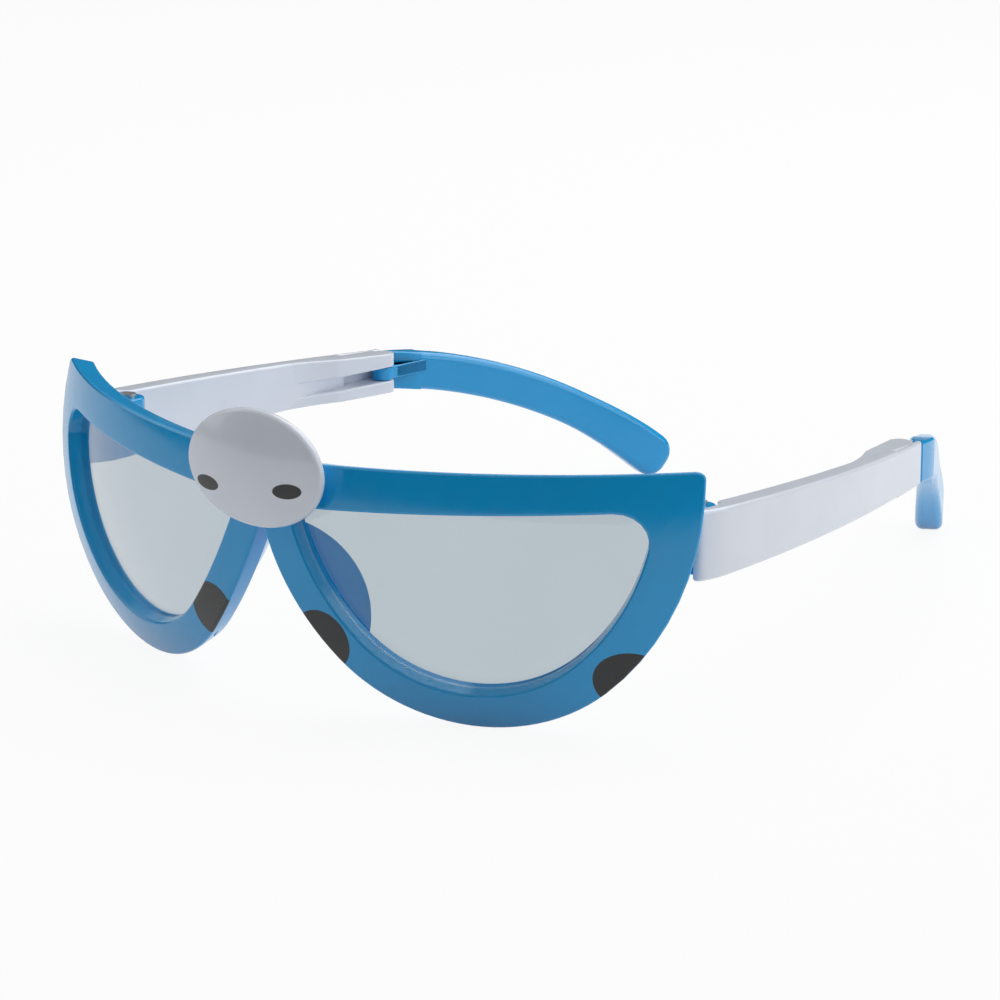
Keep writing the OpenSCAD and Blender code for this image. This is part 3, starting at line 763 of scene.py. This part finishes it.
def tip_band(a, t):
    """The tip's curved band, from the wall beside the hinge to its round end, in the hinge's axes."""
    off = hinge_axes(a)[1]
    mid = a.top - a.drop - a.rear_height / 2
    centre = (t.curve_radius * math.sin(t.start_angle), mid - t.curve_radius * math.cos(t.start_angle))
    outer, inner, half = off - 0.2 * MM, off - 0.2 * MM - t.thickness, t.height / 2
    start = t.bend_place - t.bend_radius * math.tan(t.bend / 2)
    # The recess leaves room for the arm's ears when the tip is folded
    recess_face, recess_slope, recess_end = 2.86 * MM, 0.466, 9.8 * MM

    def bent(along, across, z):
        """Lays a point beside a line that runs straight, bends inwards and runs straight again."""
        turned = min(max(0, (along - start) / t.bend_radius), t.bend)
        left = along - start - t.bend_radius * turned
        s, c = math.sin(turned), math.cos(turned)
        reach = t.bend_radius + across
        return Vector((start + reach * s + left * c, reach * c - t.bend_radius - left * s, z))

    def plane(along, edge, trim=0):
        def place(c, s):
            room = recess_face - recess_slope * along - bent(along, 0, 0).y
            lo = inner if along >= recess_end else max(inner, room)
            across, up = section(lo + trim, outer - trim, -half + trim, half - trim, edge)(c, s)
            radius = t.curve_radius + up
            return bent(along, across, centre[1] + math.sqrt(radius ** 2 - (along - centre[0]) ** 2))
        return place

    def curve(angle, tall, edge, thin=0, ahead=0):
        def place(c, s):
            across, up = section(inner + thin, outer - thin, -tall, tall, edge)(c, s)
            radius = t.curve_radius + up
            along = centre[0] + radius * math.sin(angle) + ahead * math.cos(angle)
            return bent(along, across, centre[1] + radius * math.cos(angle) - ahead * math.sin(angle))
        return place
    gap, lead, wall_edge, curve_start = 0.3 * MM, 0.3 * MM, 0.6 * MM, 13.5 * MM
    first = a.ear_radius + gap
    stations = [plane(first, lead, lead), plane(first + lead, wall_edge)]
    stations += [plane(s_at * MM, wall_edge) for s_at in (4.3, 6, 8, 9.75)] + [plane(recess_end, t.edge)]
    a0 = math.asin((curve_start - centre[0]) / t.curve_radius)
    swell, half_t = 0.6 * MM, t.thickness / 2
    for i in range(25):
        share = i / 24
        late = max(0, (share - 0.6) / 0.4)
        flare = late * late * (3 - 2 * late)
        tall = half + (t.bulb - half) * flare
        stations.append(curve(a0 + (t.end_angle - a0) * share, tall, t.edge, -swell * flare))
    for turned in (12, 24, 36, 48, 58, 67, 75, 82):
        x = math.radians(turned)
        thin = half_t - (half_t + swell) * math.sqrt(1 - math.sin(x) ** 4)
        stations.append(curve(t.end_angle, t.bulb * math.cos(x), t.edge, thin, t.bulb * math.sin(x)))
    return tube(stations, 32)


def tip_tongue(a, t):
    """The tongue round the tip's pin and the rib that joins it to the band."""
    off = hinge_axes(a)[1]
    low = a.top - a.drop - a.rear_height / 2 - t.tongue / 2
    r, rib, wall, end = a.ear_radius, 1.3 * MM, a.ear_radius + 0.3 * MM, 10.8 * MM

    def tongue(bm):
        run = [bm.verts.new((0, r, low))]
        run += arc(bm, run[-1], Vector((0, 0, low)), UP, math.pi, 16)
        run += line(bm, run[-1], Vector((math.sqrt(r ** 2 - rib ** 2), -rib, low)), 1)
        run += line(bm, run[-1], Vector((end, -rib, low)), 1)
        run += line(bm, run[-1], Vector((end, rib, low)), 1)
        run += line(bm, run[-1], Vector((wall, rib, low)), 1)
        return run

    def root(bm):
        run = [bm.verts.new((wall, -rib, low))]
        skin_t = off - a.skin
        for x, y in ((end, -rib), (end, 0.4 * MM), (6 * MM, skin_t - 1 * MM), (wall, skin_t - 0.2 * MM)):
            run += line(bm, run[-1], Vector((x, y, low)), 1)
        return run
    return prism(tongue, t.tongue, 0.25 * MM), prism(root, t.tongue, 0.25 * MM)


# Materials

def add_node(tree, kind, inputs=None, **settings):
    """Adds a node, with its settings, and links or sets its inputs."""
    node = tree.nodes.new(kind)
    for name, value in settings.items():
        setattr(node, name, value)
    for socket, value in (inputs or {}).items():
        if isinstance(value, bpy.types.NodeSocket):
            tree.links.new(value, node.inputs[socket])
        else:
            node.inputs[socket].default_value = value
    return node


def new_material(name):
    """An empty node material with its shader and its Object coordinates."""
    material = bpy.data.materials.new(name)
    material.use_nodes = True
    tree = material.node_tree
    tree.nodes.clear()
    shader = add_node(tree, "ShaderNodeBsdfPrincipled")
    add_node(tree, "ShaderNodeOutputMaterial", {"Surface": shader.outputs["BSDF"]})
    return material, tree, shader, add_node(tree, "ShaderNodeTexCoord")


def tinted(colour, share):
    """A colour made lighter or darker by a share."""
    return tuple(min(1, c * share) for c in colour) + (1,)


def moulded_abs(name, colour, ink=None, prints=()):
    """Glossy injection-moulded ABS: one through colour that drifts a little with the flow, a polished
    skin with faint sink and peel, and pad prints as flat ovals on the faces that look forwards."""
    material, tree, shader, at = new_material(name)
    place = at.outputs["Object"]
    # Flow marks, about 14 mm long
    flow = add_node(tree, "ShaderNodeTexNoise", {
        "Vector": place, "Scale": 1 / (14 * MM), "Detail": 3.0, "Roughness": 0.55})
    base = add_node(tree, "ShaderNodeMixRGB", {
        "Fac": flow.outputs["Fac"], "Color1": tinted(colour, 0.94), "Color2": tinted(colour, 1.06)})
    colour_out = base.outputs["Color"]
    # Handling haze, about 5 mm across
    haze = add_node(tree, "ShaderNodeTexNoise", {
        "Vector": place, "Scale": 1 / (5 * MM), "Detail": 4.0, "Roughness": 0.6})
    rough = add_node(tree, "ShaderNodeMapRange", {
        "Value": haze.outputs["Fac"], "From Min": 0.3, "From Max": 0.7, "To Min": 0.1, "To Max": 0.19})
    rough_out = rough.outputs["Result"]
    if prints:
        mask = None
        for x, z, half_w, half_h, tilt in prints:
            level = add_node(tree, "ShaderNodeVectorRotate", {
                "Vector": place, "Center": (x, 0, z), "Angle": tilt}, rotation_type="Y_AXIS")
            scaled = add_node(tree, "ShaderNodeVectorMath", {
                0: level.outputs["Vector"], 1: (1 / half_w, 0, 1 / half_h)}, operation="MULTIPLY")
            away = add_node(tree, "ShaderNodeVectorMath", {
                0: scaled.outputs["Vector"], 1: (x / half_w, 0, z / half_h)}, operation="DISTANCE")
            soft = 0.04 * MM / half_h
            spot = add_node(tree, "ShaderNodeMapRange", {
                "Value": away.outputs["Value"], "From Min": 1 - soft, "From Max": 1 + soft,
                "To Min": 1.0, "To Max": 0.0})
            if mask is None:
                mask = spot.outputs["Result"]
            else:
                both = add_node(tree, "ShaderNodeMath", {
                    0: mask, 1: spot.outputs["Result"]}, operation="MAXIMUM")
                mask = both.outputs["Value"]
        facing = add_node(tree, "ShaderNodeSeparateXYZ", {"Vector": at.outputs["Normal"]})
        ahead = add_node(tree, "ShaderNodeMath", {0: facing.outputs["Y"], 1: -0.2}, operation="LESS_THAN")
        inked = add_node(tree, "ShaderNodeMath", {0: mask, 1: ahead.outputs["Value"]}, operation="MULTIPLY")
        printed = add_node(tree, "ShaderNodeMixRGB", {
            "Fac": inked.outputs["Value"], "Color1": colour_out, "Color2": tuple(ink) + (1,)})
        colour_out = printed.outputs["Color"]
        dull = add_node(tree, "ShaderNodeMath", {
            0: inked.outputs["Value"], 1: 0.16, 2: rough_out}, operation="MULTIPLY_ADD")
        rough_out = dull.outputs["Value"]
    # Orange peel of a polished mould, about 2.4 mm
    peel = add_node(tree, "ShaderNodeTexNoise", {"Vector": place, "Scale": 1 / (2.4 * MM), "Detail": 2.0})
    bump = add_node(tree, "ShaderNodeBump", {
        "Height": peel.outputs["Fac"], "Strength": 0.05, "Distance": 0.1 * MM})
    tree.links.new(colour_out, shader.inputs["Base Color"])
    tree.links.new(rough_out, shader.inputs["Roughness"])
    tree.links.new(bump.outputs["Normal"], shader.inputs["Normal"])
    shader.inputs["IOR"].default_value = 1.52
    return material


def polariser(name, colour):
    """Laminated polariser film: a neutral grey see-through sheet, glossy, with a faint smoky drift."""
    material, tree, shader, at = new_material(name)
    # Smoky drift, about 20 mm
    smoke = add_node(tree, "ShaderNodeTexNoise", {
        "Vector": at.outputs["Object"], "Scale": 1 / (20 * MM), "Detail": 2.0})
    base = add_node(tree, "ShaderNodeMixRGB", {
        "Fac": smoke.outputs["Fac"], "Color1": tinted(colour, 0.97), "Color2": tinted(colour, 1.03)})
    # Film ripple, about 9 mm
    ripple = add_node(tree, "ShaderNodeTexNoise", {
        "Vector": at.outputs["Object"], "Scale": 1 / (9 * MM), "Detail": 1.0})
    rough = add_node(tree, "ShaderNodeMapRange", {
        "Value": ripple.outputs["Fac"], "To Min": 0.01, "To Max": 0.05})
    tree.links.new(base.outputs["Color"], shader.inputs["Base Color"])
    tree.links.new(rough.outputs["Result"], shader.inputs["Roughness"])
    shader.inputs["IOR"].default_value = 1.49
    shader.inputs["Transmission Weight"].default_value = 1.0
    return material


def drawn_steel(name, colour):
    """Plain drawn steel wire: bright, with fine rings left by cutting and a dull grey drift."""
    material, tree, shader, at = new_material(name)
    # Draw marks, about 0.25 mm apart
    lines = add_node(tree, "ShaderNodeTexNoise", {
        "Vector": at.outputs["Object"], "Scale": 1 / (0.25 * MM), "Detail": 2.0})
    base = add_node(tree, "ShaderNodeMixRGB", {
        "Fac": lines.outputs["Fac"], "Color1": tinted(colour, 0.85), "Color2": tinted(colour, 1.1)})
    rough = add_node(tree, "ShaderNodeMapRange", {
        "Value": lines.outputs["Fac"], "To Min": 0.25, "To Max": 0.45})
    tree.links.new(base.outputs["Color"], shader.inputs["Base Color"])
    tree.links.new(rough.outputs["Result"], shader.inputs["Roughness"])
    shader.inputs["Metallic"].default_value = 1.0
    return material


class GLASSES_OT_finishes(bpy.types.Operator):
    """Makes the finishes: blue and white mouldings, their prints, the lens film and the pins' steel."""
    bl_idname = "glasses.finishes"
    bl_label = "Finishes"

    def execute(self, context):
        f = context.scene.glasses_finishes
        # Prints: place across and up, half width, half height, in mm, and tilt
        spots = [(x * MM, z * MM, r * MM, r * MM, 0)
                 for x, z, r in ((61.3, 10.1, 5.6), (11.3, 13.0, 5.35), (-13.0, 13.9, 5.1))]
        ovals = [(x * MM, z * MM, 2.8 * MM, 1.3 * MM, math.radians(tilt))
                 for x, z, tilt in ((8.45, 39.0, 8), (-9.2, 37.8, 0))]
        moulded_abs("spot_printed_blue_abs", f.blue, f.ink, spots)
        moulded_abs("moulded_blue_abs", f.blue)
        moulded_abs("moulded_white_abs", f.white)
        moulded_abs("oval_printed_white_abs", f.white, f.ink, ovals)
        polariser("grey_polariser_film", f.film)
        drawn_steel("drawn_steel_wire", f.steel)
        return {"FINISHED"}


class GLASSES_OT_pins(bpy.types.Operator):
    """Gives the four hinge pins their steel."""
    bl_idname = "glasses.pins"
    bl_label = "Pins"

    def execute(self, context):
        for name in ("left_frame_pin", "right_frame_pin", "left_tip_pin", "right_tip_pin"):
            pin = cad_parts[name]
            pin.data.materials.clear()
            pin.data.materials.append(bpy.data.materials["drawn_steel_wire"])
        return {"FINISHED"}


class GLASSES_OT_stage(bpy.types.Operator):
    """Sets up the floor, the soft lights, the white surroundings and the camera."""
    bl_idname = "glasses.stage"
    bl_label = "Stage"

    def execute(self, context):
        scene = context.scene
        bm = bmesh.new()
        bmesh.ops.create_grid(bm, x_segments=2, y_segments=2, size=4)
        mesh = bpy.data.meshes.new("studio_floor")
        bm.to_mesh(mesh)
        bm.free()
        floor = bpy.data.objects.new("studio_floor", mesh)
        scene.collection.objects.link(floor)
        mesh.materials.append(floor_paper(scene.glasses_finishes.floor))
        surroundings(scene)
        for name, place, aim, size, power in (
                ("top_softbox", (0.05, 0.5, 0.9), (0, 0, 0.02), 1.1, 8),
                ("left_softbox", (-0.95, -0.35, 0.45), (0, -0.05, 0.03), 0.7, 1.8),
                ("right_softbox", (0.9, 0.45, 0.4), (0, 0, 0.03), 0.7, 2.8)):
            lamp = bpy.data.lights.new(name, "AREA")
            lamp.shape, lamp.size, lamp.energy = "SQUARE", size, power
            obj = bpy.data.objects.new(name, lamp)
            obj.location = place
            obj.rotation_euler = (Vector(aim) - Vector(place)).to_track_quat("-Z", "Y").to_euler()
            scene.collection.objects.link(obj)
        camera = bpy.data.cameras.new("camera")
        camera.lens, camera.sensor_width = 133.07, 36
        camera.clip_start, camera.clip_end = 0.01, 50
        obj = bpy.data.objects.new("camera", camera)
        obj.location = (0.3938, -0.53032, 0.19183)
        obj.rotation_euler = (math.radians(75.256), 0, math.radians(37.615))
        scene.collection.objects.link(obj)
        scene.camera = obj
        scene.view_settings.view_transform = "Standard"
        return {"FINISHED"}


def seen_rays(tree):
    """One for rays that see the background: from the camera, a gloss or a see-through sheet."""
    path = add_node(tree, "ShaderNodeLightPath")
    both = add_node(tree, "ShaderNodeMath", {
        0: path.outputs["Is Camera Ray"], 1: path.outputs["Is Glossy Ray"]}, operation="MAXIMUM")
    seen = add_node(tree, "ShaderNodeMath", {
        0: both.outputs["Value"], 1: path.outputs["Is Transmission Ray"]}, operation="MAXIMUM")
    return seen.outputs["Value"]


def floor_paper(colour):
    """Matt white studio paper: white to the eye, with the object's soft shadow left on it."""
    material = bpy.data.materials.new("studio_paper")
    material.use_nodes = True
    tree = material.node_tree
    tree.nodes.clear()
    at = add_node(tree, "ShaderNodeTexCoord")
    # Paper tooth, about 3 mm so that it can show at all
    tooth = add_node(tree, "ShaderNodeTexNoise", {
        "Vector": at.outputs["Object"], "Scale": 1 / (3 * MM), "Detail": 2.0})
    tone = add_node(tree, "ShaderNodeMixRGB", {
        "Fac": tooth.outputs["Fac"], "Color1": tinted(colour, 0.99), "Color2": tinted(colour, 1.01)})
    matt = add_node(tree, "ShaderNodeBsdfDiffuse", {"Color": tone.outputs["Color"]})
    white = add_node(tree, "ShaderNodeEmission", {"Color": (1, 1, 1, 1), "Strength": 1.0})
    share = add_node(tree, "ShaderNodeMath", {0: seen_rays(tree), 1: 0.92}, operation="MULTIPLY")
    mixed = add_node(tree, "ShaderNodeMixShader", {
        0: share.outputs["Value"], 1: matt.outputs["BSDF"], 2: white.outputs["Emission"]})
    add_node(tree, "ShaderNodeOutputMaterial", {"Surface": mixed.outputs["Shader"]})
    return material


def surroundings(scene):
    """White to the eye and to reflections, and a soft even light on the object."""
    world = bpy.data.worlds.new("studio")
    world.use_nodes = True
    tree = world.node_tree
    tree.nodes.clear()
    light = add_node(tree, "ShaderNodeBackground", {"Color": (1, 1, 1, 1), "Strength": 0.25})
    path = add_node(tree, "ShaderNodeLightPath")
    # Glossy faces see a dim room that pales overhead
    way = add_node(tree, "ShaderNodeTexCoord")
    height = add_node(tree, "ShaderNodeSeparateXYZ", {"Vector": way.outputs["Generated"]})
    pale = add_node(tree, "ShaderNodeMapRange", {
        "Value": height.outputs["Z"], "From Min": 0.25, "From Max": 0.7, "To Min": 0.04, "To Max": 0.8},
        interpolation_type="SMOOTHSTEP")
    clear = add_node(tree, "ShaderNodeMath", {
        0: path.outputs["Is Camera Ray"], 1: path.outputs["Is Transmission Ray"]}, operation="MAXIMUM")
    level = add_node(tree, "ShaderNodeMath", {
        0: pale.outputs["Result"], 1: clear.outputs["Value"]}, operation="MAXIMUM")
    white = add_node(tree, "ShaderNodeBackground", {
        "Color": (1, 1, 1, 1), "Strength": level.outputs["Value"]})
    mixed = add_node(tree, "ShaderNodeMixShader", {
        0: seen_rays(tree), 1: light.outputs["Background"], 2: white.outputs["Background"]})
    add_node(tree, "ShaderNodeOutputWorld", {"Surface": mixed.outputs["Shader"]})
    scene.world = world


class GLASSES_PT_panel(bpy.types.Panel):
    """Lists the steps that build the glasses."""
    bl_idname = "GLASSES_PT_panel"
    bl_label = "Glasses"
    bl_space_type = "VIEW_3D"
    bl_region_type = "UI"
    bl_category = "Glasses"

    def draw(self, context):
        for step in STEPS_IN_ORDER:
            self.layout.operator(step.bl_idname)


GROUPS = {"glasses_front": FrontSizes, "glasses_badge": BadgeSizes, "glasses_arms": ArmSizes,
          "glasses_tips": TipSizes, "glasses_finishes": Finishes}
STEPS_IN_ORDER = (GLASSES_OT_finishes, GLASSES_OT_front, GLASSES_OT_lenses, GLASSES_OT_badge,
                  GLASSES_OT_arms, GLASSES_OT_tips, GLASSES_OT_pins, GLASSES_OT_stage)


def register():
    for group in GROUPS.values():
        bpy.utils.register_class(group)
    for name, group in GROUPS.items():
        setattr(bpy.types.Scene, name, PointerProperty(type=group))
    for step in STEPS_IN_ORDER:
        bpy.utils.register_class(step)
    bpy.utils.register_class(GLASSES_PT_panel)


def unregister():
    bpy.utils.unregister_class(GLASSES_PT_panel)
    for step in reversed(STEPS_IN_ORDER):
        bpy.utils.unregister_class(step)
    for name in GROUPS:
        delattr(bpy.types.Scene, name)
    for group in reversed(list(GROUPS.values())):
        bpy.utils.unregister_class(group)


def main():
    register()
    bpy.ops.glasses.finishes()
    bpy.ops.glasses.front()
    bpy.ops.glasses.lenses()
    bpy.ops.glasses.badge()
    bpy.ops.glasses.arms()
    bpy.ops.glasses.tips()
    bpy.ops.glasses.pins()
    bpy.ops.glasses.stage()


if __name__ == "__main__":
    main()
